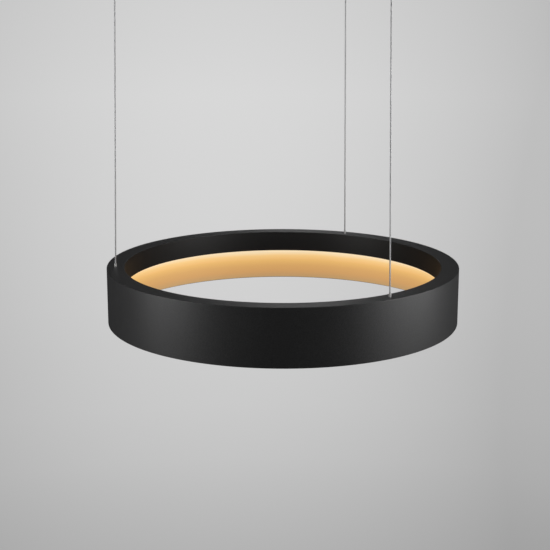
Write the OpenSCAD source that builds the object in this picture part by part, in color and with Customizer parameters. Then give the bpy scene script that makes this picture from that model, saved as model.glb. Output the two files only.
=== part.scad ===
// Ring pendant light on three thin wires: a black aluminium ring with a gold lining, lit from inside.
// Millimetres, +Z up. The origin is on the ring's axis, in the ceiling plane that the fittings screw to.

/* [Ring] */
// Outer diameter of the ring
ring_d = 600; // [540:5:900]
// Height of the outer wall
ring_h = 95; // [80:1:120]
// Width of the flat top face
top_w = 30; // [30:0.5:34]
// Height of the inner lip, which hides the diffuser
lip_h = 36; // [35:0.5:45]
// Thickness of the outer wall and the top face
wall_t = 3; // [2.5:0.1:3.2]
// Thickness of the inner lip
lip_t = 2; // [1.5:0.1:2.2]
// Rounding of the visible edges
edge_r = 0.8; // [0.3:0.1:0.9]
// Depth of the channel's outer leg, which is bonded inside the wall
leg_h = 12; // [8:0.5:14]
// How far the ledge at the foot of the lip reaches under the diffuser
ledge_w = 2.5; // [2:0.1:2.8]
// Thickness of that ledge
ledge_t = 1.5; // [1:0.1:2]
// Thickness of the gold lining
liner_t = 2; // [1:0.1:2.2]
// How far above the wall's lower edge the lining ends
liner_up = 1.2; // [0.8:0.1:2]

/* [Light source] */
// Thickness of the opal diffuser
diffuser_t = 2; // [1.5:0.1:3]
// Thickness of the aluminium plate that carries the lamps
carrier_t = 2; // [1.5:0.1:2.5]
// Width of that plate
carrier_w = 19.4; // [18:0.1:19.6]
// Length of the studs that hold the plate under the top face
stud_l = 15; // [15:0.5:18]
// Diameter of those studs
stud_d = 6; // [5:0.5:7]
// Diameter of the screws in the studs
screw_d = 2.4; // [2:0.1:2.8]
// Number of light boards round the ring
boards = 12; // [12:3:12]
// Width of a light board
board_w = 17; // [16:0.5:17.5]
// Thickness of a light board
board_t = 1.6; // [1:0.1:2]
// Space left between neighbouring light boards
board_gap = 8; // [7:0.5:9]
// Lamps on each board
board_chips = 6; // [3:1:8]
// Length of a lamp along the ring
chip_l = 3.5; // [2:0.1:4]
// Width of a lamp across the ring
chip_w = 2.8; // [2:0.1:4]
// Height of a lamp
chip_h = 0.7; // [0.4:0.1:1.2]
// Length of the bridge that joins two boards
link_l = 12; // [11:0.5:14]
// Width of that bridge
link_w = 3; // [2.5:0.1:3.4]
// Thickness of that bridge
link_t = 1.5; // [1:0.1:2]

/* [Drivers] */
// Length of a driver case
driver_l = 90; // [70:1:92]
// Width of a driver case
driver_w = 15; // [13:0.5:15.5]
// Height of a driver case without its lid
driver_h = 10.6; // [8:0.1:10.8]
// Wall of the driver case and its lid
driver_wall = 1.2; // [0.8:0.1:1.2]
// Length of each fixing ear
ear_l = 8; // [7.5:0.5:9]
// Width of each fixing ear
ear_w = 8; // [7:0.5:9]
// Thickness of each fixing ear
ear_t = 1.5; // [1:0.1:2]
// Diameter of an insulated lead between driver and boards
branch_d = 1.2; // [0.8:0.1:1.4]
// Diameter of an insulated lead between the wires and the drivers
feed_d = 1.6; // [1.2:0.1:1.6]

/* [Suspension] */
// Height of the ceiling above the ring's top face
drop = 500; // [460:5:900]
// Diameter of a suspension wire with its clear sheath
wire_d = 2.4; // [1.6:0.1:2.4]
// Angle of the first wire round the ring, from +X
first_angle = 65; // [60:1:70]
// How much nearer to the axis each wire is at the ceiling than at the ring
draw_in = 12; // [10:0.5:16]
// Height of the small tube that shows round each wire on the ring
guide_h = 5; // [3:0.5:6]
// Bore of that tube
guide_bore = 3.4; // [3.4:0.1:3.8]
// Wall of that tube
guide_wall = 0.35; // [0.35:0.05:0.6]
// Diameter of the crimped stop on the end of each wire
stop_d = 6.8; // [6.6:0.1:7]
// Length of that stop
stop_l = 6; // [4:0.5:6.5]
// Room that each stop has to move under its guide
stop_play = 0.85; // [0.85:0.05:0.95]

/* [Ceiling fitting] */
// Diameter of the moulded base
base_d = 48; // [40:1:50]
// Thickness of the base's plate
base_t = 3.5; // [3:0.1:4]
// Depth of the whole base, plate and boss
base_h = 16; // [15:0.5:17]
// Diameter of the threaded bore in the boss
base_bore = 18; // [17:0.5:18.5]
// Wall of the boss
boss_wall = 3.5; // [3:0.1:4]
// Hole for the screw into the ceiling
ceiling_hole_d = 4.5; // [4:0.1:4.6]
// Room for that screw's head above the gripper
head_room = 6.5; // [6:0.5:7]
// Diameter of the gripper body
gripper_d = 14; // [14:0.2:15]
// Length of the gripper body below its flange
gripper_l = 15.2; // [14.4:0.2:17]
// Diameter of the gripper's flange
flange_d = 22; // [21:0.5:23]
// Thickness of that flange
flange_t = 2; // [1.5:0.1:2.5]
// Diameter of the spring chamber in the gripper
chamber_d = 10.4; // [10.2:0.1:10.6]
// Thickness of the threaded plug that closes the chamber
plug_t = 2.5; // [2:0.1:3]
// Diameter of the release plunger
plunger_d = 6.4; // [6.2:0.1:6.6]
// Bore of the release plunger
plunger_bore = 5; // [4.8:0.1:5]
// How far the plunger stands out below the gripper
plunger_out = 5; // [3:0.5:6]
// Diameter of the jaw balls
ball_d = 2.8; // [2.6:0.1:2.9]
// Outer diameter of the plunger's spring
spring_d = 9; // [8.4:0.1:9.4]
// Wall of the spring's envelope
spring_wall = 1; // [0.6:0.1:1]
// Thickness of a contact lug or its plain washer
lug_t = 0.8; // [0.5:0.1:1]
// Outer diameter of the cover cup
cup_d = 60; // [58:1:70]
// Height of the cover cup without its neck
cup_h = 28; // [26:0.5:28]
// Wall of the cover cup
cup_wall = 1.5; // [1:0.1:2]
// Diameter of the cup's neck
neck_d = 21; // [20:0.5:22]
// Height of the cup's neck
neck_h = 4.5; // [4:0.1:4.8]
// Diameter of the grub screw in the neck
grub_d = 3; // [2.5:0.1:3]

/* [Clearances] */
// Radial gap of a fit that turns, slides or screws together
fit_gap = 0.1; // [0.06:0.01:0.1]
// Gap between pieces that are put in by hand
easy_gap = 0.3; // [0.2:0.05:0.3]
// Gap between a jaw ball and the wire or the gripper's cone
jaw_gap = 0.35; // [0.3:0.01:0.4]

/* [Hidden] */

wires = 3;
step = 360 / wires;
smooth = 240;
round = 64;
small = 32;
cut = 1; // how far a cutter reaches past what it cuts

// The ring's section, as radii from its axis and heights from its top face
outer_r = ring_d / 2;
band_r = outer_r - wall_t;
inner_r = outer_r - top_w;
lip_r = inner_r + lip_t;
leg_r = band_r - wall_t;
ledge_r = lip_r + ledge_w;
liner_r = band_r - liner_t;
ledge_z = ledge_t - lip_h;
diffuser_in_r = lip_r + easy_gap;
diffuser_out_r = band_r - easy_gap;

// The wires' circle on the ring is the middle of the top face
wire_r = outer_r - top_w / 2;
hole_r = 4;
bush_r = hole_r - fit_gap / 2;
hub_r = 3;
bush_flange_r = 5.6;
bush_flange_t = 2;
bush_cap_t = 0.8;
guide_r = guide_bore / 2 + guide_wall;
hub_bore_r = 2.3;
guide_flange_r = 5;
guide_flange_t = 2;
lug_z = -wall_t - bush_flange_t;
guide_foot = lug_z - lug_t - guide_flange_t;

// The lamps hang on studs between the two halves of the top face
carrier_z = -wall_t - stud_l;
carrier_in = 9.25;
stud_in = 4.3;
link_out = 3.7;
carrier_r = leg_r - carrier_in;
stud_r = carrier_r - stud_in;
link_r = carrier_r + link_out;
board_z = carrier_z - carrier_t;
board_half = board_gap / 2 / carrier_r * 180 / PI;
board_first = first_angle + 15;
thread_gap = 0.05;
screw_head_d = 5.5;
screw_head_h = 2;
screw_in = 8;
lead_hole_r = 2.3;

// A straight driver case is as far out as its corners allow
driver_r = sqrt(pow(leg_r - easy_gap, 2) - pow(driver_l / 2, 2)) - driver_w / 2;
driver_first = first_angle - step / 2;
driver_top = carrier_z + driver_h;
board_lift = 2;
driver_board_t = 1.2;
board_foot_r = 1.5;
coil_w = 8;
coil_l = 9;
coil_h = 4.5;
capacitor_r = 2.5;
capacitor_h = 5;
terminal_w = 6;
terminal_l = 8;
terminal_h = 2.7;
feed_z = -wall_t - easy_gap - feed_d / 2;
plus_in = 0.5;
minus_out = 1.7;
plus_r = leg_r - easy_gap - plus_in - feed_d / 2;
minus_r = lip_r + minus_out + feed_d / 2;
plus_turn = 8.5;
reach_in = 3;
minus_reach = driver_r - driver_w / 2 + reach_in;
branch_up = 6;
branch_z = carrier_z + branch_up;
branch_turn = 15;

// Heights in a ceiling fitting, down from the ceiling
fitting_r = wire_r - draw_in;
lug_top = -base_h;
flange_top = lug_top - lug_t;
body_top = -base_t - head_room;
shoulder = flange_top - flange_t;
body_foot = shoulder - gripper_l;
cone_up = 4;
cone_h = 6;
jaws_up = 7;
cone_foot = body_foot + cone_up;
cone_top = cone_foot + cone_h;
pivot_z = body_foot + jaws_up;
plug_down = 0.5;
collar_up = 1;
plug_z = body_top - plug_t - plug_down;
collar_z = cone_top + collar_up;
collar_t = 1.2;
collar_play = 1.6;
collar_d = chamber_d - collar_play;
guide_hole_r = plunger_d / 2 + fit_gap;
ball_r = ball_d / 2;
ball_at = wire_d / 2 + jaw_gap + ball_r;
cage_gap = 0.15;
cage_r = ball_r + cage_gap;
cone_slope = 1 / 6;
cone_angle = atan(cone_slope);
cone_mid_r = ball_at + (ball_r + jaw_gap - 0.02) / cos(cone_angle);
cone_top_r = cone_mid_r + (cone_top - pivot_z) * cone_slope;
cone_foot_r = cone_mid_r - (pivot_z - cone_foot) * cone_slope;
lug_tail = 18;
lug_hole_at = 15.5;
lug_hole_r = 1.6;
lug_w = 6;
lug_rim = 1;
feed_tail_w = 3;
cup_top = -0.5;
cup_foot = cup_top - cup_h;
cup_bore_r = gripper_d / 2 + easy_gap;

// Each wire leans out a little on its way down from the jaws to the ring
wire_fall = drop + pivot_z;
lean = atan(draw_in / wire_fall);
wire_l = wire_fall / cos(lean);
wire_tail = 9;
stop_from = wire_l - guide_foot + stop_play;

function angle(i) = first_angle + i * step;

// Points of an arc about (r, z), used to round a corner of a section
function corner(r, z, radius, from) =
    [for (a = [0 : 18 : 90]) [r + radius * cos(from + a), z + radius * sin(from + a)]];

module at_fitting(i) {
    rotate([0, 0, angle(i)]) translate([fitting_r, 0, 0]) children();
}

module at_guide(i) {
    translate([0, 0, -drop]) rotate([0, 0, angle(i)]) translate([wire_r, 0, 0]) children();
}

module in_ring() {
    translate([0, 0, -drop]) children();
}

// Puts a child on the wire's own line, with z counted down the wire from the jaws
module along_wire(i) {
    at_fitting(i) translate([0, 0, pivot_z]) rotate([0, 180 - lean, 0]) children();
}

module tube(outer, inner, low, high, sides) {
    difference() {
        translate([0, 0, low]) cylinder(r = outer, h = high - low, $fn = sides);
        translate([0, 0, low - cut]) cylinder(r = inner, h = high - low + 2 * cut, $fn = sides);
    }
}

module rod(radius, low, high, sides) {
    translate([0, 0, low]) cylinder(r = radius, h = high - low, $fn = sides);
}

// Ceiling fittings

module ceiling_base(i) {
    color("whitesmoke") at_fitting(i) difference() {
        union() {
            rod(base_d / 2, -base_t, 0, round);
            rod(base_bore / 2 + boss_wall, -base_h, -base_t + 0.5, round);
        }
        rod(base_bore / 2, -base_h - cut, -base_t, round);
        rod(ceiling_hole_d / 2, -base_t - cut, cut, small);
    }
}

module contact_lug(i) {
    color("peru") at_fitting(i) difference() {
        union() {
            rod(flange_d / 2 + lug_rim, flange_top, lug_top, round);
            translate([-lug_tail, -lug_w / 2, flange_top]) cube([lug_tail, lug_w, lug_t]);
        }
        rod(base_bore / 2 + thread_gap, flange_top - cut, lug_top + cut, round);
        translate([-lug_hole_at, 0, 0]) rod(lug_hole_r, flange_top - cut, lug_top + cut, small);
    }
}

module plain_washer() {
    color("silver") at_fitting(wires - 1)
        tube(flange_d / 2, base_bore / 2 + thread_gap, flange_top, lug_top, round);
}

module gripper_body(i) {
    color("gainsboro") at_fitting(i) difference() {
        union() {
            rod(base_bore / 2 - fit_gap, flange_top, body_top, round);
            rod(flange_d / 2, shoulder, flange_top, round);
            rod(gripper_d / 2, body_foot, shoulder, round);
        }
        rod(chamber_d / 2, cone_top, body_top + cut, round);
        translate([0, 0, cone_foot])
            cylinder(r1 = cone_foot_r, r2 = cone_top_r, h = cone_top - cone_foot, $fn = round);
        rod(guide_hole_r, body_foot - cut, cone_foot + cut, round);
    }
}

module gripper_plugs() {
    color("gainsboro") for (i = [0 : wires - 1]) at_fitting(i)
        tube(chamber_d / 2 - fit_gap / 2, 3, plug_z, plug_z + plug_t, round);
}

module gripper_spring(i) {
    color("silver") at_fitting(i)
        tube(spring_d / 2, spring_d / 2 - spring_wall, collar_z + collar_t, plug_z, round);
}

module release_plunger(i) {
    color("silver") at_fitting(i) difference() {
        union() {
            rod(plunger_d / 2, body_foot - plunger_out, collar_z + 0.5, round);
            rod(collar_d / 2, collar_z, collar_z + collar_t, round);
        }
        rod(plunger_bore / 2, body_foot - plunger_out - cut, collar_z + collar_t + cut, round);
        for (k = [0 : 2]) rotate([0, 90, 120 * k]) translate([-pivot_z, 0, 0])
            rod(cage_r, 0.5, plunger_d, small);
    }
}

module jaw_balls(i) {
    color("silver") at_fitting(i) for (k = [0 : 2]) rotate([0, 0, 120 * k])
        translate([ball_at, 0, pivot_z]) sphere(r = ball_r, $fn = small);
}

module cover_cup(i) {
    color([0.12, 0.12, 0.12]) at_fitting(i) difference() {
        union() {
            rod(cup_d / 2, cup_foot, cup_top, round);
            rod(neck_d / 2, cup_foot - neck_h, cup_foot + 0.5, round);
        }
        rod(cup_d / 2 - cup_wall, cup_foot + cup_wall, cup_top + cut, round);
        rod(cup_bore_r, cup_foot - neck_h - cut, cup_foot + cup_wall + cut, round);
        translate([0, 0, cup_foot - neck_h / 2]) rotate([0, 90, 0])
            rod(grub_d / 2 + thread_gap, 0, neck_d, small);
    }
}

module grub_screw(i) {
    color("dimgray") at_fitting(i) translate([0, 0, cup_foot - neck_h / 2]) rotate([0, 90, 0])
        rod(grub_d / 2, cup_bore_r, neck_d / 2 - 0.3, small);
}

// Suspension wires

module suspension_wire(i) {
    color("darkgray") along_wire(i) rod(wire_d / 2, -wire_tail, stop_from + stop_l, small);
}

module wire_stop(i) {
    color("silver") along_wire(i)
        tube(stop_d / 2, wire_d / 2, stop_from, stop_from + stop_l, small);
}

module wire_guide(i) {
    color("silver") at_guide(i) difference() {
        union() {
            rod(guide_r, -bush_cap_t - 0.5, guide_h, round);
            rod(hub_r, guide_foot, -bush_cap_t, round);
            rod(guide_flange_r, guide_foot, guide_foot + guide_flange_t, round);
        }
        rod(guide_bore / 2, -bush_cap_t - cut, guide_h + cut, round);
        rod(hub_bore_r, guide_foot - cut, -bush_cap_t - 0.5, round);
    }
}

module insulating_bushes() {
    color([0.1, 0.1, 0.1]) for (i = [0 : wires - 1]) at_guide(i) difference() {
        union() {
            rod(bush_r, lug_z, 0, round);
            rod(bush_flange_r, lug_z, -wall_t, round);
        }
        rod(guide_r + thread_gap, -bush_cap_t - cut, cut, round);
        rod(hub_r + thread_gap, lug_z - cut, -bush_cap_t, round);
    }
}

// A lug clamped under the bush, with a tail that reaches the lead at radius lead_r
module feed_lug(i, lead_r) {
    reach = lead_r - wire_r;
    color("peru") at_guide(i) difference() {
        union() {
            rod(guide_flange_r, lug_z - lug_t, lug_z, round);
            translate([min(0, reach) - lug_rim, -feed_tail_w / 2, lug_z - lug_t])
                cube([abs(reach) + lug_rim, feed_tail_w, lug_t]);
        }
        rod(hub_r + thread_gap, lug_z - lug_t - cut, lug_z + cut, round);
    }
}

module feed_washer() {
    color("silver") at_guide(wires - 1)
        tube(guide_flange_r, hub_r + thread_gap, lug_z - lug_t, lug_z, round);
}

// Ring shells

module outer_band() {
    section = concat(
        [[band_r, 0]],
        [[band_r, -ring_h + edge_r]],
        corner(band_r + edge_r, -ring_h + edge_r, edge_r, 180),
        corner(outer_r - edge_r, -ring_h + edge_r, edge_r, 270),
        corner(outer_r - edge_r, -edge_r, edge_r, 0));
    color([0.1, 0.1, 0.1]) in_ring() rotate_extrude($fn = smooth) polygon(section);
}

module top_channel() {
    section = concat(
        [[band_r, 0]],
        corner(inner_r + edge_r, -edge_r, edge_r, 90),
        corner(inner_r + edge_r, -lip_h + edge_r, edge_r, 180),
        [[ledge_r, -lip_h], [ledge_r, ledge_z], [lip_r, ledge_z], [lip_r, -wall_t]],
        [[leg_r, -wall_t], [leg_r, -wall_t - leg_h], [band_r, -wall_t - leg_h]]);
    color([0.1, 0.1, 0.1]) in_ring() difference() {
        rotate_extrude($fn = smooth) polygon(section);
        for (i = [0 : wires - 1]) rotate([0, 0, angle(i)]) translate([wire_r, 0, 0])
            rod(hole_r, -wall_t - cut, cut, round);
    }
}

module gold_liner() {
    color([0.85, 0.68, 0.4]) in_ring()
        tube(band_r - thread_gap, liner_r, -ring_h + liner_up, ledge_z, smooth);
}

module diffuser_ring() {
    color("ivory") in_ring()
        tube(diffuser_out_r, diffuser_in_r, ledge_z, ledge_z + diffuser_t, smooth);
}

// Lamps and what carries them

module at_gaps() {
    for (k = [0 : boards - 1]) rotate([0, 0, board_first + k * 360 / boards]) children();
}

module carrier_studs() {
    color("silver") in_ring() at_gaps() translate([stud_r, 0, 0]) difference() {
        rod(stud_d / 2, carrier_z, -wall_t, small);
        rod(screw_d / 2 + thread_gap, carrier_z - cut, carrier_z + screw_in + cut, small);
    }
}

module carrier_ring() {
    color("silver") in_ring() difference() {
        tube(carrier_r + carrier_w / 2, carrier_r - carrier_w / 2, board_z, carrier_z, smooth);
        at_gaps() translate([stud_r, 0, 0])
            rod(screw_d / 2 + easy_gap, board_z - cut, carrier_z + cut, small);
        for (i = [0 : wires - 1]) {
            rotate([0, 0, driver_first + i * step + branch_turn]) translate([link_r, 0, 0])
                rod(lead_hole_r, board_z - cut, carrier_z + cut, small);
            at_ears(i) rod(screw_d / 2 + thread_gap, board_z - cut, carrier_z + cut, small);
        }
    }
}

module carrier_screws() {
    color("gray") in_ring() at_gaps() translate([stud_r, 0, 0]) {
        rod(screw_d / 2, board_z - 0.5, carrier_z + screw_in, small);
        rod(screw_head_d / 2, board_z - screw_head_h, board_z, small);
    }
}

module light_boards() {
    turn = 360 / boards - 2 * board_half;
    color("white") in_ring() for (k = [0 : boards - 1])
        rotate([0, 0, board_first + k * 360 / boards + board_half])
            rotate_extrude(angle = turn, $fn = smooth)
                translate([carrier_r - board_w / 2, board_z - board_t]) square([board_w, board_t]);
}

module light_chips() {
    turn = (360 / boards - 2 * board_half) / board_chips;
    color("lightyellow") in_ring() for (k = [0 : boards - 1]) for (c = [0 : board_chips - 1])
        rotate([0, 0, board_first + k * 360 / boards + board_half + (c + 0.5) * turn])
            translate([carrier_r - chip_w / 2, -chip_l / 2, board_z - board_t - chip_h])
                cube([chip_w, chip_l, chip_h]);
}

module board_links() {
    color("white") in_ring() at_gaps()
        translate([link_r - link_w / 2, -link_l / 2, board_z - board_t - link_t])
            cube([link_w, link_l, link_t]);
}

// Drivers

module at_driver(i) {
    rotate([0, 0, driver_first + i * step]) translate([driver_r, 0, carrier_z]) children();
}

module at_ears(i) {
    for (side = [-1, 1]) rotate([0, 0, driver_first + i * step])
        translate([driver_r, side * (driver_l + ear_l) / 2, 0]) children();
}

module block(w, l, h) {
    translate([-w / 2, -l / 2, 0]) cube([w, l, h]);
}

module driver_case(i) {
    color("white") in_ring() difference() {
        union() {
            at_driver(i) block(driver_w, driver_l, driver_h);
            at_driver(i) block(ear_w, driver_l + 2 * ear_l, ear_t);
        }
        at_driver(i) translate([0, 0, driver_wall])
            block(driver_w - 2 * driver_wall, driver_l - 2 * driver_wall, driver_h);
        at_ears(i) rod(screw_d / 2 + easy_gap, carrier_z - cut, carrier_z + ear_t + cut, small);
    }
}

module driver_boards() {
    board_l = driver_l - 2 * driver_wall - 1;
    color("seagreen") in_ring() for (i = [0 : wires - 1]) at_driver(i) translate([0, 0, driver_wall]) {
        translate([0, 0, board_lift])
            block(driver_w - 2 * driver_wall - 1, board_l, driver_board_t);
        for (y = [-0.4, 0.4]) translate([0, y * board_l, 0])
            rod(board_foot_r, 0, board_lift, small);
        translate([0, board_l * 0.1, board_lift]) block(coil_w, coil_l, coil_h);
        for (y = [-0.3, -0.15]) translate([0, y * board_l, board_lift])
            rod(capacitor_r, driver_board_t, capacitor_h, small);
        translate([0, board_l * 0.28, board_lift]) block(terminal_w, terminal_l, terminal_h);
    }
}

module driver_lids() {
    color("white") in_ring() for (i = [0 : wires - 1]) at_driver(i)
        translate([0, 0, driver_h]) block(driver_w, driver_l, driver_wall);
}

module driver_screws() {
    color("gray") in_ring() for (i = [0 : wires - 1]) at_ears(i) {
        rod(screw_d / 2, board_z + 0.2, carrier_z + ear_t + 0.5, small);
        rod(screw_head_d / 2, carrier_z + ear_t, carrier_z + ear_t + screw_head_h, small);
    }
}

// A lead bent round the ring at radius lead_r
module bent_lead(lead_r, from, turn, z, d) {
    rotate([0, 0, from]) rotate_extrude(angle = turn, $fn = smooth)
        translate([lead_r, z]) circle(d = d, $fn = small);
}

module feed_lead_plus() {
    from = driver_first - plus_turn;
    color("firebrick") in_ring() {
        bent_lead(plus_r, from - 0.2, 2 * step + 0.4, feed_z, feed_d);
        for (i = [0 : wires - 1]) rotate([0, 0, from + i * step]) translate([plus_r, 0, 0])
            rod(feed_d / 2 - 0.1, driver_top + driver_wall, feed_z, small);
        rotate([0, 0, angle(0)]) translate([plus_r, 0, 0]) rod(feed_d / 2 - 0.1, lug_z, feed_z, small);
    }
}

module feed_lead_minus() {
    color([0.15, 0.15, 0.15]) in_ring() {
        bent_lead(minus_r, driver_first - 0.2, 2 * step + 0.4, feed_z, feed_d);
        for (i = [0 : wires - 1]) rotate([0, 0, driver_first + i * step]) {
            translate([0, 0, feed_z]) rotate([0, 90, 0])
                rod(feed_d / 2 - 0.1, minus_r, minus_reach, small);
            translate([minus_reach - 0.5, 0, 0])
                rod(feed_d / 2 - 0.2, driver_top + driver_wall, feed_z, small);
        }
        rotate([0, 0, angle(1)]) translate([minus_r, 0, 0]) rod(feed_d / 2 - 0.1, lug_z, feed_z, small);
    }
}

module branch_leads() {
    from = atan(driver_l / 2 / driver_r);
    color("white") in_ring() for (i = [0 : wires - 1]) rotate([0, 0, driver_first + i * step]) {
        bent_lead(link_r, from + 0.3, branch_turn - from, branch_z, branch_d);
        rotate([0, 0, branch_turn]) translate([link_r, 0, 0])
            rod(branch_d / 2 - 0.1, board_z - board_t, branch_z, small);
    }
}

ceiling_base(0);  // ceiling_base_1
ceiling_base(1);  // ceiling_base_2
ceiling_base(2);  // ceiling_base_3
contact_lug(0);  // contact_lug_1
contact_lug(1);  // contact_lug_2
plain_washer();
gripper_body(0);  // gripper_body_1
gripper_body(1);  // gripper_body_2
gripper_body(2);  // gripper_body_3
gripper_plugs();
gripper_spring(0);  // gripper_spring_1
gripper_spring(1);  // gripper_spring_2
gripper_spring(2);  // gripper_spring_3
release_plunger(0);  // release_plunger_1
release_plunger(1);  // release_plunger_2
release_plunger(2);  // release_plunger_3
jaw_balls(0);  // jaw_balls_1
jaw_balls(1);  // jaw_balls_2
jaw_balls(2);  // jaw_balls_3
cover_cup(0);  // cover_cup_1
cover_cup(1);  // cover_cup_2
cover_cup(2);  // cover_cup_3
grub_screw(0);  // grub_screw_1
grub_screw(1);  // grub_screw_2
grub_screw(2);  // grub_screw_3
suspension_wire(0);  // suspension_wire_1
suspension_wire(1);  // suspension_wire_2
suspension_wire(2);  // suspension_wire_3
wire_stop(0);  // wire_stop_1
wire_stop(1);  // wire_stop_2
wire_stop(2);  // wire_stop_3
wire_guide(0);  // wire_guide_1
wire_guide(1);  // wire_guide_2
wire_guide(2);  // wire_guide_3
insulating_bushes();
feed_lug(0, plus_r);  // feed_lug_1
feed_lug(1, minus_r);  // feed_lug_2
feed_washer();
outer_band();
top_channel();
gold_liner();
diffuser_ring();
carrier_studs();
carrier_ring();
carrier_screws();
light_boards();
light_chips();
board_links();
driver_case(0);  // driver_case_1
driver_case(1);  // driver_case_2
driver_case(2);  // driver_case_3
driver_boards();
driver_lids();
driver_screws();
feed_lead_plus();
feed_lead_minus();
branch_leads();
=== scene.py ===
import math

import bmesh
import bpy
from mathutils import Matrix, Vector


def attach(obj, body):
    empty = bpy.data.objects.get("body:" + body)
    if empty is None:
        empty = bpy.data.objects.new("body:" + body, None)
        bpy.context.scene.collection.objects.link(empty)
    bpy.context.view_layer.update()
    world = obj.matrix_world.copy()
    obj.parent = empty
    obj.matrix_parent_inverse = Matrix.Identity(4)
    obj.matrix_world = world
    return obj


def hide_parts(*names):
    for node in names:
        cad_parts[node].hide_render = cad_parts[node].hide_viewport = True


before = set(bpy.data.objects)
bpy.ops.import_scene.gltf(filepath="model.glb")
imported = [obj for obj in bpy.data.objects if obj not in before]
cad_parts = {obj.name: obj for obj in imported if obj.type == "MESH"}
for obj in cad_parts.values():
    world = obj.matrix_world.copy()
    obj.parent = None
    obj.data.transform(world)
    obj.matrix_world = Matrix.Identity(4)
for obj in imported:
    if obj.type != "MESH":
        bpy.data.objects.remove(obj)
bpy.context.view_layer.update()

scene = bpy.context.scene
scene.view_settings.view_transform = "Standard"

# Camera
# Stands just over two metres before the ring, above it, and looks down by 13.3 degrees. The lens is a
# short telephoto, as used for such pictures.
CAMERA_PLACE = (-0.0133, -2.1226, -0.0173)
CAMERA_TILT = math.radians(76.651)
FILM_W = 36
LENS = 82.98
camera_data = bpy.data.cameras.new("camera")
camera_data.sensor_width = FILM_W
camera_data.lens = LENS
camera = bpy.data.objects.new("camera", camera_data)
camera.location = CAMERA_PLACE
camera.rotation_euler = (CAMERA_TILT, 0, 0)
scene.collection.objects.link(camera)
scene.camera = camera

# Suspension wires
# Three steel ropes of six strands, each in a thin clear sheath. A crimped stop holds each lower end inside
# the ring, and the jaws of a ceiling fitting hold the upper end. The steel also carries the supply.
MM = 0.001
ANGLES = (65, 185, 305)
FITTING_R = 273
PIVOT_Z = -27
RING_Z = -500
RING_WIRE_R = 285
WIRE_D = 2.4
LEAN = math.atan2(RING_WIRE_R - FITTING_R, PIVOT_Z - RING_Z)
TAIL_ABOVE_JAWS = 9
TAIL_IN_RING = 14.65
STOP_END = (PIVOT_Z - RING_Z) / math.cos(LEAN) + TAIL_IN_RING
ROPE_LENGTH = (STOP_END + TAIL_ABOVE_JAWS) * MM
STRANDS = 6
FILAMENTS = 30
FILAMENT_TWIST = 9000
GROOVE = 0.05
ROPE_SIDES = 24
ROPE_RINGS = 420
ROPE_TURNS = 38
GRAIN_DEPTH = 0.0001
SHARP_ANGLE = math.radians(35)


class Flow:
    """One output of a material's nodes. Sums and products with it add Math nodes."""

    def __init__(self, tree, socket=None):
        self.tree = tree
        self.socket = socket

    def node(self, kind, settings=None, sockets=None, output=0):
        """Adds a node: its settings first, then the values or links of its sockets."""
        made = self.tree.nodes.new(kind)
        for name, value in (settings or {}).items():
            if name == "stops":
                ramp = made.color_ramp.elements
                while len(ramp) < len(value):
                    ramp.new(1)
                for stop, (position, colour) in zip(ramp, value):
                    stop.position = position
                    stop.color = (*colour, 1)
            else:
                setattr(made, name, value)
        for name, value in (sockets or {}).items():
            if isinstance(value, Flow):
                self.tree.links.new(value.socket, made.inputs[name])
            else:
                made.inputs[name].default_value = value
        return Flow(self.tree, made.outputs[output])

    def math(self, operation, first, second=0.0):
        return self.node("ShaderNodeMath", {"operation": operation}, {0: first, 1: second})

    def __add__(self, other):
        return self.math("ADD", self, other)

    def __radd__(self, other):
        return self.math("ADD", other, self)

    def __sub__(self, other):
        return self.math("SUBTRACT", self, other)

    def __rsub__(self, other):
        return self.math("SUBTRACT", other, self)

    def __mul__(self, other):
        return self.math("MULTIPLY", self, other)

    def __rmul__(self, other):
        return self.math("MULTIPLY", other, self)


def new_finish(name):
    """A new material and the start of its nodes."""
    material = bpy.data.materials.new(name)
    material.use_nodes = True
    return material, Flow(material.node_tree)


def surface(material, sockets):
    """Sets or links the sockets of a material's Principled shader."""
    shader = material.node_tree.nodes["Principled BSDF"]
    for name, value in sockets.items():
        if isinstance(value, Flow):
            material.node_tree.links.new(value.socket, shader.inputs[name])
        else:
            shader.inputs[name].default_value = value


def tint(factor, dark, light):
    """Goes from a dark colour to a light one."""
    return factor.node("ShaderNodeMix", {"data_type": "RGBA"},
                       {0: factor, 6: (*dark, 1), 7: (*light, 1)}, output=2)


def relief(height, strength, distance=GRAIN_DEPTH):
    """A bump as deep as distance, in metres, where the height goes from nought to one."""
    return height.node("ShaderNodeBump", None,
                       {"Strength": strength, "Distance": distance, "Height": height})


def rope_finish():
    """Strands wound round each other, which show through the clear sheath, with painted shade in the grooves
    between them.
    """
    material, flow = new_finish("wire")
    uv = flow.node("ShaderNodeUVMap", {"uv_map": "UVMap"})
    around = uv.node("ShaderNodeSeparateXYZ", None, {0: uv}, output="X")
    along = uv.node("ShaderNodeSeparateXYZ", None, {0: uv}, output="Y")
    strand = flow.math("COSINE", around * (2 * math.pi * STRANDS)) * 0.5 + 0.5
    slant = around * (2 * math.pi * FILAMENTS) + along * FILAMENT_TWIST
    filament = flow.math("COSINE", slant) * 0.5 + 0.5
    # Light on the strand crowns, dark in the grooves: painted shade in the colour, and the height of the
    # bump.
    lit = strand * 0.7 + filament * 0.3
    surface(material, {
        "Base Color": tint(lit, (0.24, 0.24, 0.245), (0.44, 0.44, 0.447)),
        "Metallic": 0.25,
        "Roughness": 0.42 - filament * 0.08,
        "Coat Weight": 0.5,
        "Coat Roughness": 0.15,
        "Normal": relief(lit, 0.25),
    })
    return material


def at_angle(angle, radius, height):
    """A place on a circle about the ring's axis, with x pointing outwards."""
    return Matrix.Rotation(math.radians(angle), 4, "Z") @ Matrix.Translation(
        (radius * MM, 0, height * MM))


def wire_line(angle):
    """Puts z up the wire's own line, with zero at the jaws."""
    return at_angle(angle, FITTING_R, PIVOT_Z) @ Matrix.Rotation(-LEAN, 4, "Y")


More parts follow.
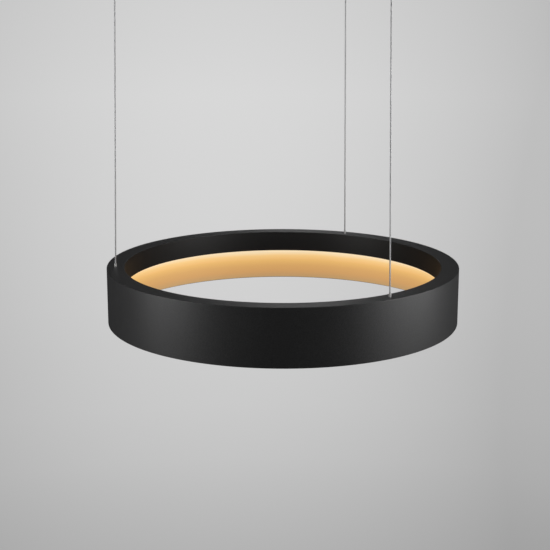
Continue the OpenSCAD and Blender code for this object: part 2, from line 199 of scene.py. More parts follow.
def make_piece(bm, name, material, body, nodes=()):
    """Turns a finished bmesh into a piece that rides on a body and stands for some CAD nodes."""
    for face in bm.faces:
        face.smooth = True
    for edge in bm.edges:
        edge.smooth = edge.calc_face_angle(0) < SHARP_ANGLE
    mesh = bpy.data.meshes.new(name)
    bm.to_mesh(mesh)
    bm.free()
    mesh.materials.append(material)
    piece = bpy.data.objects.new(name, mesh)
    scene.collection.objects.link(piece)
    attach(piece, body)
    if nodes:
        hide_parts(*nodes)
    return piece


def rope(angle):
    """A six-lobed section drawn up the wire's line while it turns."""
    bm = bmesh.new()
    bmesh.ops.create_circle(bm, segments=ROPE_SIDES, radius=WIRE_D / 2 * MM)
    for vert in bm.verts:
        lobe = math.cos(STRANDS * math.atan2(vert.co.y, vert.co.x)) * 0.5 + 0.5
        vert.co *= 1 - GROOVE * (1 - lobe)
        vert.co.z = -STOP_END * MM
    turn = 2 * math.pi * ROPE_TURNS
    bmesh.ops.spin(bm, geom=bm.verts[:] + bm.edges[:], cent=(0, 0, 0), axis=(0, 0, 1),
                   dvec=(0, 0, ROPE_LENGTH / ROPE_RINGS), angle=turn, steps=ROPE_RINGS)
    bmesh.ops.holes_fill(bm, edges=[e for e in bm.edges if e.is_boundary])
    bmesh.ops.recalc_face_normals(bm, faces=bm.faces)
    layer = bm.loops.layers.uv.new("UVMap")
    for face in bm.faces:
        middle = None
        for loop in face.loops:
            x, y, z = loop.vert.co
            wound = turn * (z + STOP_END * MM) / ROPE_LENGTH
            u = (math.atan2(y, x) - wound) / (2 * math.pi)
            middle = u if middle is None else middle
            loop[layer].uv = (u - round(u - middle), z)
    bm.transform(wire_line(angle))
    return bm


WIRE = rope_finish()
for number, angle in enumerate(ANGLES, 1):
    wire = make_piece(rope(angle), f"wire_rope_{number}", WIRE, f"wire_{number}",
                      [f"suspension_wire_{number}"])

# Outer band
# A strip of aluminium, 3 mm thick, rolled to a ring and welded end to end, then powder coated satin black.
# Its edges are rounded before it is coated.
BAND_R = 300
BAND_IN = BAND_R - 3
BAND_H = 95
BAND = [(BAND_IN, 0, 0.2), (BAND_IN, -BAND_H, 0.8), (BAND_R, -BAND_H, 0.8), (BAND_R, 0, 0.8)]
RING_STEPS = 360
ROUND_STEPS = 4
MERGE = 1e-7
ON_CORNER = 2e-6
LIP_R = 270
LIP_EDGE_SQUARE = ((LIP_R + 0.4) * MM) ** 2
LIP_PAINTED_SHADE = 0.55
SPECK_CONTRAST = 1.25
PATCH_SHARE = 0.12
COAT_LEVEL = 0.66


def satin_finish():
    """Powder coat: a fine grain with a soft sheen, and painted shade that darkens the inner face of the lip.
    """
    material, flow = new_finish("black_satin")
    place = flow.node("ShaderNodeTexCoord", output="Object")
    across = place.node("ShaderNodeSeparateXYZ", None, {0: place}, output="X")
    away = place.node("ShaderNodeSeparateXYZ", None, {0: place}, output="Y")
    down = place.node("ShaderNodeSeparateXYZ", None, {0: place}, output="Z")
    # Marks the inner face of the lip, where painted shade darkens the coat.
    inside = flow.math("LESS_THAN", across * across + away * away, LIP_EDGE_SQUARE)
    inside = inside * flow.math("LESS_THAN", down, RING_Z * MM)
    specks = place.node("ShaderNodeTexNoise", None,
                        {"Vector": place, "Scale": 640.0, "Detail": 1.0, "Roughness": 0.4})
    grain = place.node("ShaderNodeTexNoise", None,
                       {"Vector": place, "Scale": 1300.0, "Detail": 3.0, "Roughness": 0.6})
    patches = place.node("ShaderNodeTexNoise", None,
                         {"Vector": place, "Scale": 14.0, "Detail": 2.0, "Roughness": 0.5})
    coat = (specks - 0.5) * SPECK_CONTRAST + patches * PATCH_SHARE + COAT_LEVEL
    surface(material, {
        # The coat colour is darkened on the lip's inner face: painted shade.
        "Base Color": tint(coat * (1 - inside * LIP_PAINTED_SHADE), (0.004, 0.004, 0.0043),
                           (0.027, 0.027, 0.0275)),
        "Roughness": 0.38 + patches * 0.05 + grain * 0.06,
        "Specular IOR Level": 0.42,
        "Normal": relief(grain, 0.12),
    })
    return material


def turned(outline, places, steps):
    """Spins a closed outline of (radius, height, rounding), in millimetres, about z at each place."""
    whole = bmesh.new()
    for place in places:
        bm = bmesh.new()
        points = [bm.verts.new((r * MM, 0, z * MM)) for r, z, _ in outline]
        sides = [bm.edges.new(pair) for pair in zip(points, points[1:] + points[:1])]
        bmesh.ops.spin(bm, geom=points + sides, cent=(0, 0, 0), axis=(0, 0, 1),
                       angle=2 * math.pi, steps=steps, use_merge=True)
        bmesh.ops.remove_doubles(bm, verts=bm.verts, dist=MERGE)
        bmesh.ops.recalc_face_normals(bm, faces=bm.faces)
        for rounding in sorted({corner[2] for corner in outline if corner[2]}):
            corners = [Vector((r * MM, z * MM)) for r, z, c in outline if c == rounding]
            rims = [edge for edge in bm.edges if any(
                all((Vector((math.hypot(v.co.x, v.co.y), v.co.z)) - corner).length < ON_CORNER
                    for v in edge.verts) for corner in corners)]
            bmesh.ops.bevel(bm, geom=rims, offset=rounding * MM, offset_type="OFFSET",
                            segments=ROUND_STEPS, profile=0.5, material=-1, affect="EDGES")
        bm.transform(place)
        made = bpy.data.meshes.new("turned")
        bm.to_mesh(made)
        bm.free()
        whole.from_mesh(made)
        bpy.data.meshes.remove(made)
    return whole


def even_shade(piece):
    """Keeps flat faces flat where they meet a rounded edge."""
    piece.modifiers.new("even_shade", "WEIGHTED_NORMAL").keep_sharp = True


RING = Matrix.Translation((0, 0, RING_Z * MM))
BLACK = satin_finish()
band = make_piece(turned(BAND, [RING], RING_STEPS), "black_band", BLACK, "ring",
                  ["outer_band"])
even_shade(band)

# Top channel
# An aluminium channel, rolled with the band: the flat top face, the inner lip with a ledge at its foot, and
# an outer leg that is bonded inside the band. Three holes in the top face take the wires.
TOP_T = 3
LIP_H = 36
LIP_BACK = LIP_R + 2
LEDGE_R = LIP_R + 4.5
LEDGE_Z = 1.5 - LIP_H
LEG_R = BAND_IN - 3
LEG_H = 15
CHANNEL = [(BAND_IN, 0, 0.2), (LIP_R, 0, 0.8), (LIP_R, -LIP_H, 0.8), (LEDGE_R, -LIP_H, 0.3),
           (LEDGE_R, LEDGE_Z, 0.2), (LIP_BACK, LEDGE_Z, 0), (LIP_BACK, -TOP_T, 0), (LEG_R, -TOP_T, 0),
           (LEG_R, -LEG_H, 0.3), (BAND_IN, -LEG_H, 0)]
HOLE_R = 4
TOP_CUT = (-TOP_T - 1, 1)
DRILL_SIDES = 64


def drill(piece, radius, low, high, places):
    """Cuts round holes through a piece along z at each place."""
    bm = bmesh.new()
    for place in places:
        middle = place @ Matrix.Translation((0, 0, (low + high) / 2 * MM))
        bmesh.ops.create_cone(bm, cap_ends=True, segments=DRILL_SIDES, radius1=radius * MM,
                              radius2=radius * MM, depth=(high - low) * MM, matrix=middle)
    mesh = bpy.data.meshes.new("drill")
    bm.to_mesh(mesh)
    bm.free()
    tool = bpy.data.objects.new("drill", mesh)
    scene.collection.objects.link(tool)
    cut = piece.modifiers.new("holes", "BOOLEAN")
    cut.operation = "DIFFERENCE"
    cut.solver = "EXACT"
    cut.object = tool
    bpy.context.view_layer.update()
    drilled = bpy.data.meshes.new_from_object(
        piece.evaluated_get(bpy.context.evaluated_depsgraph_get()))
    piece.modifiers.remove(cut)
    piece.data = drilled
    bpy.data.objects.remove(tool)
    bpy.data.meshes.remove(mesh)


channel = make_piece(turned(CHANNEL, [RING], RING_STEPS), "top_face_and_lip", BLACK, "ring",
                     ["top_channel"])
drill(channel, HOLE_R, *TOP_CUT, [at_angle(a, RING_WIRE_R, RING_Z) for a in ANGLES])
even_shade(channel)

# Gold lining
# A strip of matt gold anodised aluminium, sprung against the inside of the band under the diffuser. The light
# from the diffuser washes down it, strongest at the top; most of that wash is a painted glow that fades
# downwards.
LINER_R = BAND_IN - 0.05
LINER_IN = BAND_IN - 2
LINER_END = 1.2 - BAND_H
LINER = [(LINER_IN, LINER_END, 0.3), (LINER_R, LINER_END, 0.3), (LINER_R, LEDGE_Z, 0),
         (LINER_IN, LEDGE_Z, 0)]
PAINTED_GLOW = [(0.0, (0.78, 0.70, 0.52)), (0.17, (0.76, 0.64, 0.43)), (0.28, (0.77, 0.50, 0.21)),
        (0.44, (0.665, 0.39, 0.125)), (0.61, (0.56, 0.31, 0.107)), (0.8, (0.505, 0.268, 0.1)),
        (1.0, (0.385, 0.24, 0.115))]
GLOW_DRIFT = 0.06
MIRRORED = 0.1


def gold_finish():
    """Matt anodised gold. Its wash of light is a painted glow, fading downwards and faint in gloss."""
    material, flow = new_finish("gold")
    place = flow.node("ShaderNodeTexCoord", output="Object")
    height = place.node("ShaderNodeSeparateXYZ", None, {0: place}, output="Z")
    depth = ((RING_Z + LEDGE_Z) * MM - height) * (1 / ((LEDGE_Z - LINER_END) * MM))
    stretched = place.node("ShaderNodeMapping", {"vector_type": "POINT"},
                           {"Vector": place, "Scale": (60.0, 60.0, 2600.0)})
    brushed = place.node("ShaderNodeTexNoise", None,
                         {"Vector": stretched, "Scale": 1.0, "Detail": 2.0, "Roughness": 0.5})
    soft = place.node("ShaderNodeTexNoise", None,
                      {"Vector": place, "Scale": 11.0, "Detail": 1.0, "Roughness": 0.5})
    # Painted glow: the diffuser's wash of light, painted into the emission colour by height.
    glow = depth.node("ShaderNodeValToRGB", {"stops": PAINTED_GLOW},
                      {"Fac": depth + (soft - 0.5) * GLOW_DRIFT})
    gloss = flow.node("ShaderNodeLightPath", output="Is Glossy Ray")
    glow = glow.node("ShaderNodeMix", {"data_type": "RGBA", "blend_type": "MULTIPLY"},
                     {0: 1.0, 6: glow, 7: 1 - gloss * (1 - MIRRORED)}, output=2)
    surface(material, {
        "Base Color": tint(brushed * 0.5 + soft * 0.5, (0.25, 0.16, 0.067), (0.32, 0.21, 0.09)),
        "Metallic": 0.2,
        "Specular IOR Level": 0.35,
        "Roughness": 0.5 + brushed * 0.1,
        "Normal": relief(brushed, 0.1),
        "Emission Color": glow,
        "Emission Strength": 1.0,
    })
    return material


GOLD = gold_finish()
liner = make_piece(turned(LINER, [RING], RING_STEPS), "gold_lining", GOLD, "ring",
                   ["gold_liner"])
even_shade(liner)

# Diffuser
# A flat ring of opal plastic, cut from sheet. It rests on the ledge at its inner edge and on the top of the
# gold lining at its outer edge, and is lit evenly from above by the lamps.
DIFFUSER_IN = LIP_BACK + 0.3
DIFFUSER_R = BAND_IN - 0.3
DIFFUSER_Z = LEDGE_Z + 2
DIFFUSER = [(DIFFUSER_IN, LEDGE_Z, 0.3), (DIFFUSER_R, LEDGE_Z, 0.3), (DIFFUSER_R, DIFFUSER_Z, 0.3),
            (DIFFUSER_IN, DIFFUSER_Z, 0.3)]


def opal_finish():
    """Opal plastic, a little cloudy, with the lamps' light coming through it."""
    material, flow = new_finish("opal")
    place = flow.node("ShaderNodeTexCoord", output="Object")
    cloud = place.node("ShaderNodeTexNoise", None,
                       {"Vector": place, "Scale": 18.0, "Detail": 2.0, "Roughness": 0.5})
    surface(material, {
        "Base Color": tint(cloud, (0.84, 0.80, 0.72), (0.92, 0.89, 0.82)),
        "Roughness": 0.38 + cloud * 0.12,
        "Emission Color": tint(cloud, (1.0, 0.76, 0.48), (1.0, 0.82, 0.56)),
        "Emission Strength": 1.3,
    })
    return material


OPAL = opal_finish()
diffuser = make_piece(turned(DIFFUSER, [RING], RING_STEPS), "opal_diffuser", OPAL, "ring",
                      ["diffuser_ring"])
even_shade(diffuser)

# Wire guides
# Short turned tubes of nickel-plated brass. Each stands 5 mm above the top face round its wire, and its
# flange under the face carries the ring's weight on the wire's stop.
TUBE_R = 2.05
TUBE_BORE = 1.7
TUBE_UP = 5
SHANK_R = 3
SHANK_Z = -0.8
SHANK_BORE = 2.3
SHANK_BORE_Z = -1.3
FLANGE_R = 5
FLANGE_Z = -5.8
GUIDE_END = -7.8
GUIDE = [(TUBE_BORE, TUBE_UP, 0.12), (TUBE_R, TUBE_UP, 0.15), (TUBE_R, SHANK_Z, 0),
         (SHANK_R, SHANK_Z, 0), (SHANK_R, FLANGE_Z, 0), (FLANGE_R, FLANGE_Z, 0.2),
         (FLANGE_R, GUIDE_END, 0.2), (SHANK_BORE, GUIDE_END, 0), (SHANK_BORE, SHANK_BORE_Z, 0),
         (TUBE_BORE, SHANK_BORE_Z, 0)]
SMALL_STEPS = 48
MOTTLE_SIZE = 8
MOTTLE_SHARE = 0.6
MOTTLE_SHEEN = 0.12
FINE_SHEEN = 0.08
FINE_DEPTH = 0.00005


def fitting_finish(name, dark, light, metallic, roughness, grain, bump, **others):
    """A finish for a small piece: a mottled colour, an uneven sheen and a fine grain."""
    material, flow = new_finish(name)
    place = flow.node("ShaderNodeTexCoord", output="Object")
    mottle = place.node("ShaderNodeTexNoise", None,
                        {"Vector": place, "Scale": grain / MOTTLE_SIZE, "Detail": 2.0,
                         "Roughness": 0.5})
    fine = place.node("ShaderNodeTexNoise", None,
                      {"Vector": place, "Scale": grain, "Detail": 2.0, "Roughness": 0.6})
    surface(material, {
        "Base Color": tint(mottle * MOTTLE_SHARE + fine * (1 - MOTTLE_SHARE), dark, light),
        "Metallic": metallic,
        "Roughness": roughness + (mottle - 0.5) * MOTTLE_SHEEN + (fine - 0.5) * FINE_SHEEN,
        "Normal": relief(fine, bump, FINE_DEPTH),
        **{socket.replace("_", " "): value for socket, value in others.items()},
    })
    return material


NICKEL = fitting_finish("nickel", (0.44, 0.435, 0.425), (0.58, 0.575, 0.565), metallic=0.75,
                        roughness=0.42, grain=2400.0, bump=0.1)
for number, angle in enumerate(ANGLES, 1):
    guide = make_piece(turned(GUIDE, [at_angle(angle, RING_WIRE_R, RING_Z)], SMALL_STEPS),
                       f"guide_tube_{number}", NICKEL, "ring", [f"wire_guide_{number}"])
    even_shade(guide)

# Insulating bushes
# Moulded in black plastic. They centre the guides in the holes of the top face, flush with it, and keep the
# live wires apart from the metal ring.
BUSH_PLAY = 0.05
BUSH_R = HOLE_R - BUSH_PLAY
BUSH_FLANGE_R = 5.6
BUSH_END = -5
BUSH = [(TUBE_R + BUSH_PLAY, 0, 0.15), (BUSH_R, 0, 0.15), (BUSH_R, -TOP_T, 0),
        (BUSH_FLANGE_R, -TOP_T, 0.2), (BUSH_FLANGE_R, BUSH_END, 0.2), (SHANK_R + BUSH_PLAY, BUSH_END, 0),
        (SHANK_R + BUSH_PLAY, SHANK_Z, 0), (TUBE_R + BUSH_PLAY, SHANK_Z, 0)]
BLACK_PLASTIC = fitting_finish("black_plastic", (0.011, 0.011, 0.012), (0.02, 0.02, 0.021),
                               metallic=0.0, roughness=0.45, grain=1600.0, bump=0.08)
bushes = make_piece(turned(BUSH, [at_angle(a, RING_WIRE_R, RING_Z) for a in ANGLES], SMALL_STEPS),
                    "bushes", BLACK_PLASTIC, "ring", ["insulating_bushes"])
even_shade(bushes)

# Wire stops and small steel pieces
# Steel sleeves crimped on the wires' lower ends, the plain washers, the screws, the jaw balls and the
# plungers' springs. All are plain steel and sit inside the ring or the ceiling fittings.
STEEL = fitting_finish("steel", (0.42, 0.42, 0.43), (0.6, 0.6, 0.61), metallic=0.9, roughness=0.36,
                       grain=2000.0, bump=0.1)


def dress(material, *nodes):
    """Gives CAD nodes that keep their own shape a finish."""
    for node in nodes:
        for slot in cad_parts[node].material_slots:
            slot.material = material


dress(STEEL, "wire_stop_1", "wire_stop_2", "wire_stop_3", "plain_washer", "feed_washer",
      "carrier_screws", "driver_screws", "jaw_balls_1", "jaw_balls_2", "jaw_balls_3",
      "gripper_spring_1", "gripper_spring_2", "gripper_spring_3")

# Feed lugs and contact lugs
# Copper, punched from sheet. They take the supply from the ceiling to two of the grippers, and from two of
# the guides to the leads in the ring.
COPPER = fitting_finish("copper", (0.55, 0.25, 0.13), (0.75, 0.38, 0.22), metallic=0.9,
                        roughness=0.35, grain=1800.0, bump=0.1)
dress(COPPER, "feed_lug_1", "feed_lug_2", "contact_lug_1", "contact_lug_2")

# Leads
# Stranded copper in red, black or white plastic, laid round inside the top channel from the lugs to the
# drivers, and from each driver down to the light boards.
RED_PLASTIC = fitting_finish("red_plastic", (0.34, 0.02, 0.014), (0.5, 0.035, 0.022), metallic=0.0,
                             roughness=0.42, grain=1500.0, bump=0.06)
WHITE_PLASTIC = fitting_finish("white_plastic", (0.68, 0.68, 0.66), (0.78, 0.78, 0.76), metallic=0.0,
                               roughness=0.42, grain=1500.0, bump=0.08)
dress(RED_PLASTIC, "feed_lead_plus")
dress(BLACK_PLASTIC, "feed_lead_minus")
dress(WHITE_PLASTIC, "branch_leads", "board_links")

# Drivers
# Three white moulded cases with snapped-on lids, screwed to the carrier plate. Each holds a green circuit
# board with a coil, two capacitors and a terminal block.
GREEN_BOARD = fitting_finish("green_board", (0.012, 0.11, 0.045), (0.03, 0.2, 0.09), metallic=0.0,
                             roughness=0.3, grain=900.0, bump=0.05)
dress(GREEN_BOARD, "driver_boards")
dress(WHITE_PLASTIC, "driver_case_1", "driver_case_2", "driver_case_3", "driver_lids")

# Carrier plate and studs
# A flat ring of mill-finish aluminium, which carries and cools the light boards. Twelve turned studs and
# screws hang it under the top face.
RAW_ALUMINIUM = fitting_finish("raw_aluminium", (0.5, 0.51, 0.53), (0.66, 0.67, 0.69), metallic=0.9,
                               roughness=0.38, grain=700.0, bump=0.1)
dress(RAW_ALUMINIUM, "carrier_ring", "carrier_studs")

# Light boards and lamps
# Twelve curved boards with a white coating, six warm lamps on each, under the carrier plate. The lamps' gel
# is yellow, and they are lit.
WHITE_BOARD = fitting_finish("white_board", (0.76, 0.76, 0.74), (0.86, 0.86, 0.84), metallic=0.0,
                             roughness=0.3, grain=1200.0, bump=0.05)
LAMP = fitting_finish("lamp", (0.9, 0.66, 0.2), (0.98, 0.8, 0.32), metallic=0.0, roughness=0.3,
                      grain=900.0, bump=0.04, Emission_Color=(1.0, 0.75, 0.45, 1),
                      Emission_Strength=2.0)
dress(WHITE_BOARD, "light_boards")
dress(LAMP, "light_chips")

# Ceiling bases
# Moulded in white plastic: a round plate with one screw hole in the middle, and a boss under it whose bore
# takes the gripper.
BASE_R = 24
BASE_Z = -3.5
SCREW_HOLE_R = 2.25
BOSS_R = 12.5
BOSS_BORE = 9
BOSS_END = -16
BASE = [(SCREW_HOLE_R, 0, 0.3), (BASE_R, 0, 0.6), (BASE_R, BASE_Z, 0.8), (BOSS_R, BASE_Z, 0),
        (BOSS_R, BOSS_END, 0.6), (BOSS_BORE, BOSS_END, 0.3), (BOSS_BORE, BASE_Z, 0),
        (SCREW_HOLE_R, BASE_Z, 0.3)]
CEILING_STEPS = 96
for number, angle in enumerate(ANGLES, 1):
    base = make_piece(turned(BASE, [at_angle(angle, FITTING_R, 0)], CEILING_STEPS),
                      f"ceiling_plate_{number}", WHITE_PLASTIC, "ceiling_fittings",
                      [f"ceiling_base_{number}"])
    even_shade(base)

# Gripper bodies and plugs
# Turned in brass and nickel plated. A body screws into the boss, its flange clamps the contact lug, and the
# cone inside it wedges three balls on the wire. A threaded plug closes it at the top.
THREAD_R = BOSS_BORE - 0.1
THREAD_TOP = -10
CLAMP_R = 11
CLAMP_Z = BOSS_END - 0.8
CLAMP_END = CLAMP_Z - 2
GRIPPER_R = 7
GRIPPER_END = -34
MOUTH_R = 3.3
CONE_LOW = (4.2, -30, 0)
CONE_HIGH = (5.2, -24, 0)
GRIPPER = [(THREAD_R, THREAD_TOP, 0.3), (THREAD_R, CLAMP_Z, 0), (CLAMP_R, CLAMP_Z, 0.2),
           (CLAMP_R, CLAMP_END, 0.4), (GRIPPER_R, CLAMP_END, 0.3), (GRIPPER_R, GRIPPER_END, 0.7),
           (MOUTH_R, GRIPPER_END, 0.2), (MOUTH_R, CONE_LOW[1], 0), CONE_LOW, CONE_HIGH,
           (CONE_HIGH[0], THREAD_TOP, 0.2)]
for number, angle in enumerate(ANGLES, 1):
    gripper = make_piece(turned(GRIPPER, [at_angle(angle, FITTING_R, 0)], CEILING_STEPS),
                         f"gripper_{number}", NICKEL, "ceiling_fittings",
                         [f"gripper_body_{number}"])
    even_shade(gripper)
dress(NICKEL, "gripper_plugs")

# Release plungers
# Turned in brass and nickel plated, with a rounded tip below the gripper and a collar inside it. Pushed up
# against its spring, a plunger lifts the balls off the wire.
PLUNGER_R = 3.2
PLUNGER_BORE = 2.5
PLUNGER_END = -39
COLLAR_R = 4.4
COLLAR_Z = -23
PLUNGER_TOP = -21.8
PLUNGER = [(PLUNGER_BORE, PLUNGER_END, 0.3), (PLUNGER_R, PLUNGER_END, 0.4), (PLUNGER_R, COLLAR_Z, 0),
           (COLLAR_R, COLLAR_Z, 0.2), (COLLAR_R, PLUNGER_TOP, 0.2), (PLUNGER_BORE, PLUNGER_TOP, 0)]
for number, angle in enumerate(ANGLES, 1):
    plunger = make_piece(turned(PLUNGER, [at_angle(angle, FITTING_R, 0)], CEILING_STEPS),
                         f"plunger_{number}", NICKEL, f"plunger_{number}",
                         [f"release_plunger_{number}"])
    even_shade(plunger)

# Cover cups
# Spun from aluminium and powder coated satin black. Each hides its ceiling fitting, open at the top, with a
# neck round the gripper, and slides down the wire when its grub screw is loosened.
CUP_R = 30
CUP_WALL = 1.5
CUP_TOP = -0.5
CUP_END = -28.5
NECK_R = 10.5
NECK_BORE = 7.3
NECK_END = -33
CUP = [(CUP_R - CUP_WALL, CUP_TOP, 0.3), (CUP_R, CUP_TOP, 0.4), (CUP_R, CUP_END, 1.2),
       (NECK_R, CUP_END, 0), (NECK_R, NECK_END, 0.6), (NECK_BORE, NECK_END, 0.4),
       (NECK_BORE, CUP_END + CUP_WALL, 0.3), (CUP_R - CUP_WALL, CUP_END + CUP_WALL, 0)]
NECK_MIDDLE = (CUP_END + NECK_END) / 2
GRUB_HOLE_R = 1.55
GRUB_CUT = (5, 21)
for number, angle in enumerate(ANGLES, 1):
    cup = make_piece(turned(CUP, [at_angle(angle, FITTING_R, 0)], CEILING_STEPS),
                     f"cover_{number}", BLACK, f"cover_{number}",
                     [f"cover_cup_{number}"])
    drill(cup, GRUB_HOLE_R, *GRUB_CUT,
          [at_angle(angle, FITTING_R, NECK_MIDDLE) @ Matrix.Rotation(math.pi / 2, 4, "Y")])
    even_shade(cup)

# Grub screws
# Short steel rods, blackened, with a hexagon socket pressed into the outer end. Each is screwed through its
# cover's neck and clamps the cover on the gripper.
GRUB_R = 1.5
GRUB_FROM = NECK_BORE
GRUB_TO = 10.2
GRUB_SIDES = 36
GRUB_BEVEL = 0.15
SOCKET_R = 0.87
SOCKET_DEPTH = 1.2
HALF_FLAT = math.pi / 6
BLACKENED = fitting_finish("steel_blackened", (0.05, 0.05, 0.052), (0.1, 0.1, 0.102), metallic=0.7,
                           roughness=0.4, grain=1800.0, bump=0.08)


def grub_screw(angle):
    """A short rod whose outer end has a six-sided socket pressed in."""
    bm = bmesh.new()
    bmesh.ops.create_cone(bm, cap_ends=True, segments=GRUB_SIDES, radius1=GRUB_R * MM,
                          radius2=GRUB_R * MM, depth=(GRUB_TO - GRUB_FROM) * MM,
                          matrix=Matrix.Translation((0, 0, (GRUB_FROM + GRUB_TO) / 2 * MM)))
    bm.faces.ensure_lookup_table()
    end = max(bm.faces, key=lambda face: face.calc_center_median().z)
    bmesh.ops.bevel(bm, geom=list(end.edges), offset=GRUB_BEVEL * MM, offset_type="OFFSET",
                    segments=2, profile=0.5, material=-1, affect="EDGES")
    end = max(bm.faces, key=lambda face: (round(face.calc_center_median().z, 7), face.calc_area()))
    bmesh.ops.inset_individual(bm, faces=[end], thickness=(GRUB_R - GRUB_BEVEL - SOCKET_R) * MM)
    for vert in end.verts:
        turn = math.atan2(vert.co.y, vert.co.x)
        flat = math.cos(HALF_FLAT) / math.cos(turn % (2 * HALF_FLAT) - HALF_FLAT)
        reach = SOCKET_R * MM * flat / math.hypot(vert.co.x, vert.co.y)
        vert.co.x *= reach
        vert.co.y *= reach
    deep = bmesh.ops.extrude_face_region(bm, geom=[end])
    bmesh.ops.translate(bm, vec=(0, 0, -SOCKET_DEPTH * MM),
                        verts=[v for v in deep["geom"] if isinstance(v, bmesh.types.BMVert)])
    bmesh.ops.delete(bm, geom=[end], context="FACES_ONLY")
    bmesh.ops.recalc_face_normals(bm, faces=bm.faces)
    bm.transform(at_angle(angle, FITTING_R, NECK_MIDDLE) @ Matrix.Rotation(math.pi / 2, 4, "Y"))
    return bm


for number, angle in enumerate(ANGLES, 1):
    make_piece(grub_screw(angle), f"socket_screw_{number}", BLACKENED, f"cover_{number}",
               [f"grub_screw_{number}"])

# Studio
# A round room of pale card: a floor, a wide cove and a wall, all in one. It is painted palest behind the
# ring, with a painted pool of light on the floor under it and painted shade off to the sides, and it keeps
# the ring's soft shadow.
FLOOR_Z = -2.8
ROOM_R = 4.6
ROOM_TOP = 3.2
ROOM_STEPS = 160
ROOM_MERGE = 1e-5
ON_FLOOR = 1e-4
COVE = 2.0
COVE_STEPS = 40
CARD_SHADES = [(0.0, 0.43), (0.06, 0.522), (0.13, 0.612), (0.19, 0.656), (0.33, 0.712), (0.45, 0.739),
               (0.65, 0.767), (0.8, 0.721), (1.0, 0.68)]
SHADES_PER_METRE = 0.3
CARD_COLOUR = (0.6, 0.6, 0.6, 1)
CARD_SHOWN = 0.88
CARD_GLOSS = 0.05
PALEST_X = -0.25
SIDE_FADE = 0.08
SIDE_FADE_RISE = 0.02
SIDE_FADE_MOST = 0.235
POOL_OF_PAINTED_LIGHT = 0.55
POOL_R = 3.0


def card_finish():
    """Card that shows the camera its pale colour with painted shade and light, and is lit as card by the
    lamps.
    """
    material, flow = new_finish("studio_card")
    place = flow.node("ShaderNodeTexCoord", output="Object")
    across = place.node("ShaderNodeSeparateXYZ", None, {0: place}, output="X")
    away = place.node("ShaderNodeSeparateXYZ", None, {0: place}, output="Y")
    height = place.node("ShaderNodeSeparateXYZ", None, {0: place}, output="Z")
    seen = flow.node("ShaderNodeLightPath", output="Is Camera Ray")
    gloss = flow.node("ShaderNodeLightPath", output="Is Glossy Ray")
    through = flow.node("ShaderNodeLightPath", output="Is Transmission Ray")
    # Painted shade towards the sides of the room.
    sideways = across - PALEST_X
    fade = flow.math("MINIMUM", sideways * sideways * (SIDE_FADE - height * SIDE_FADE_RISE),
                     SIDE_FADE_MOST)
    # A painted pool of light on the floor under the ring.
    pool = 1 - (across * across + away * away) * (1 / POOL_R ** 2)
    pale = 1 - fade + flow.math("MAXIMUM", pool, 0.0) * POOL_OF_PAINTED_LIGHT
    grade = height.node("ShaderNodeValToRGB", {"stops": [
        (position, (shade, shade, shade)) for position, shade in CARD_SHADES]},
        {"Fac": (height - FLOOR_Z) * SHADES_PER_METRE})
    shade = grade.node("ShaderNodeMix", {"data_type": "RGBA", "blend_type": "MULTIPLY"},
                       {0: 1.0, 6: grade, 7: pale * (1 - gloss * (1 - CARD_GLOSS))}, output=2)
    glow = shade.node("ShaderNodeEmission", None, {"Color": shade, "Strength": 1.0})
    card = shade.node("ShaderNodeBsdfDiffuse", None, {"Color": CARD_COLOUR})
    share = flow.math("MINIMUM", seen * CARD_SHOWN + gloss + through * CARD_SHOWN, 1.0)
    mixed = flow.node("ShaderNodeMixShader", None, {0: share, 1: card, 2: glow})
    flow.tree.links.new(mixed.socket, flow.tree.nodes["Material Output"].inputs["Surface"])
    return material


def studio_room():
    """Spins the floor and the wall about z, and rounds the corner between them."""
    bm = bmesh.new()
    outline = [(0, FLOOR_Z), (ROOM_R, FLOOR_Z), (ROOM_R, ROOM_TOP)]
    points = [bm.verts.new((r, 0, z)) for r, z in outline]
    sides = [bm.edges.new(pair) for pair in zip(points, points[1:])]
    bmesh.ops.spin(bm, geom=points + sides, cent=(0, 0, 0), axis=(0, 0, 1),
                   angle=2 * math.pi, steps=ROOM_STEPS, use_merge=True)
    bmesh.ops.remove_doubles(bm, verts=bm.verts, dist=ROOM_MERGE)
    corner = [edge for edge in bm.edges if all(
        abs(v.co.z - FLOOR_Z) < ON_FLOOR and math.hypot(v.co.x, v.co.y) > ROOM_R / 2
        for v in edge.verts)]
    bmesh.ops.bevel(bm, geom=corner, offset=COVE, offset_type="OFFSET", segments=COVE_STEPS,
                    profile=0.5, material=-1, affect="EDGES")
    bmesh.ops.recalc_face_normals(bm, faces=bm.faces)
    bmesh.ops.reverse_faces(bm, faces=bm.faces)
    for face in bm.faces:
        face.smooth = True
    mesh = bpy.data.meshes.new("studio_room")
    bm.to_mesh(mesh)
    bm.free()
    mesh.materials.append(card_finish())
    return bpy.data.objects.new("studio_room", mesh)


room = studio_room()
scene.collection.objects.link(room)

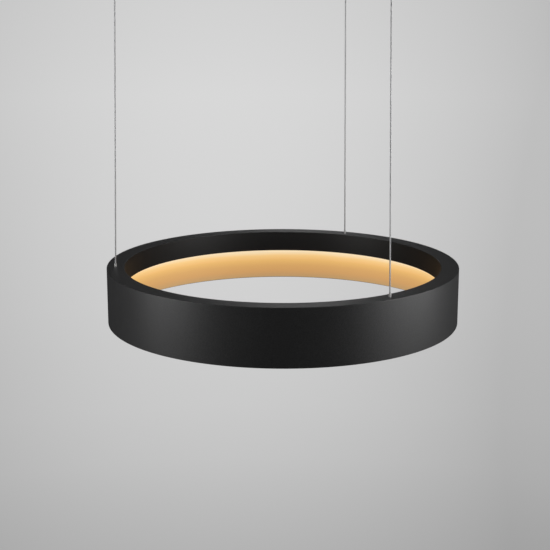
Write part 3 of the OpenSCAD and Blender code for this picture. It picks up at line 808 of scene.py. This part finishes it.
# World
# Plain air over the room's open top. It gives a dim, even fill, and the camera sees it nearly as pale as
# the card.
AIR_FILL = (0.12, 0.12, 0.12)
AIR_SEEN = (0.6, 0.6, 0.6)
world = bpy.data.worlds.new("studio_air")
world.use_nodes = True
scene.world = world
air = Flow(world.node_tree)
seen_by_camera = air.node("ShaderNodeLightPath", output="Is Camera Ray")
background = world.node_tree.nodes["Background"]
world.node_tree.links.new(tint(seen_by_camera, AIR_FILL, AIR_SEEN).socket, background.inputs["Color"])

# Lamps
# Two large soft boxes, left and right, draw the two soft highlights on the band. A narrow panel behind and
# a faint low one brighten the middle of the top face. A faint wide panel in front and one overhead fill the
# shade.
RING_MIDDLE = (0, 0, RING_Z * MM)
BOX_Z = -0.27
LEFT_Y = -0.55
RIGHT_Y = -0.39


def soft_box(name, place, target, width, height, radiance):
    """A rectangular lamp that the camera doesn't see."""
    lamp = bpy.data.lights.new(name, "AREA")
    lamp.shape = "RECTANGLE"
    lamp.size = width
    lamp.size_y = height
    lamp.energy = radiance * math.pi * width * height
    box = bpy.data.objects.new(name, lamp)
    box.location = place
    box.rotation_euler = (Vector(target) - Vector(place)).to_track_quat("-Z", "Y").to_euler()
    box.visible_camera = False
    scene.collection.objects.link(box)


soft_box("soft_box_left", place=(-1.15, LEFT_Y, BOX_Z), target=(0, LEFT_Y, BOX_Z), width=0.75,
         height=0.84, radiance=5.7)
soft_box("soft_box_right", place=(1.15, RIGHT_Y, BOX_Z), target=(0, RIGHT_Y, BOX_Z), width=0.98,
         height=0.84, radiance=5.7)
soft_box("soft_box_behind", place=(0.11, 3.0, 0.8), target=RING_MIDDLE, width=0.26, height=0.9,
         radiance=2.8)
soft_box("soft_box_low", place=(-0.24, 3.0, -0.25), target=RING_MIDDLE, width=1.0, height=0.5,
         radiance=0.1)
soft_box("soft_box_front", place=(0, -3.9, 0.2), target=RING_MIDDLE, width=4.2, height=2.0,
         radiance=0.16)
soft_box("soft_box_above", place=(0, 0, 2.4), target=(0, 0, 0), width=2.4, height=2.4,
         radiance=0.5)
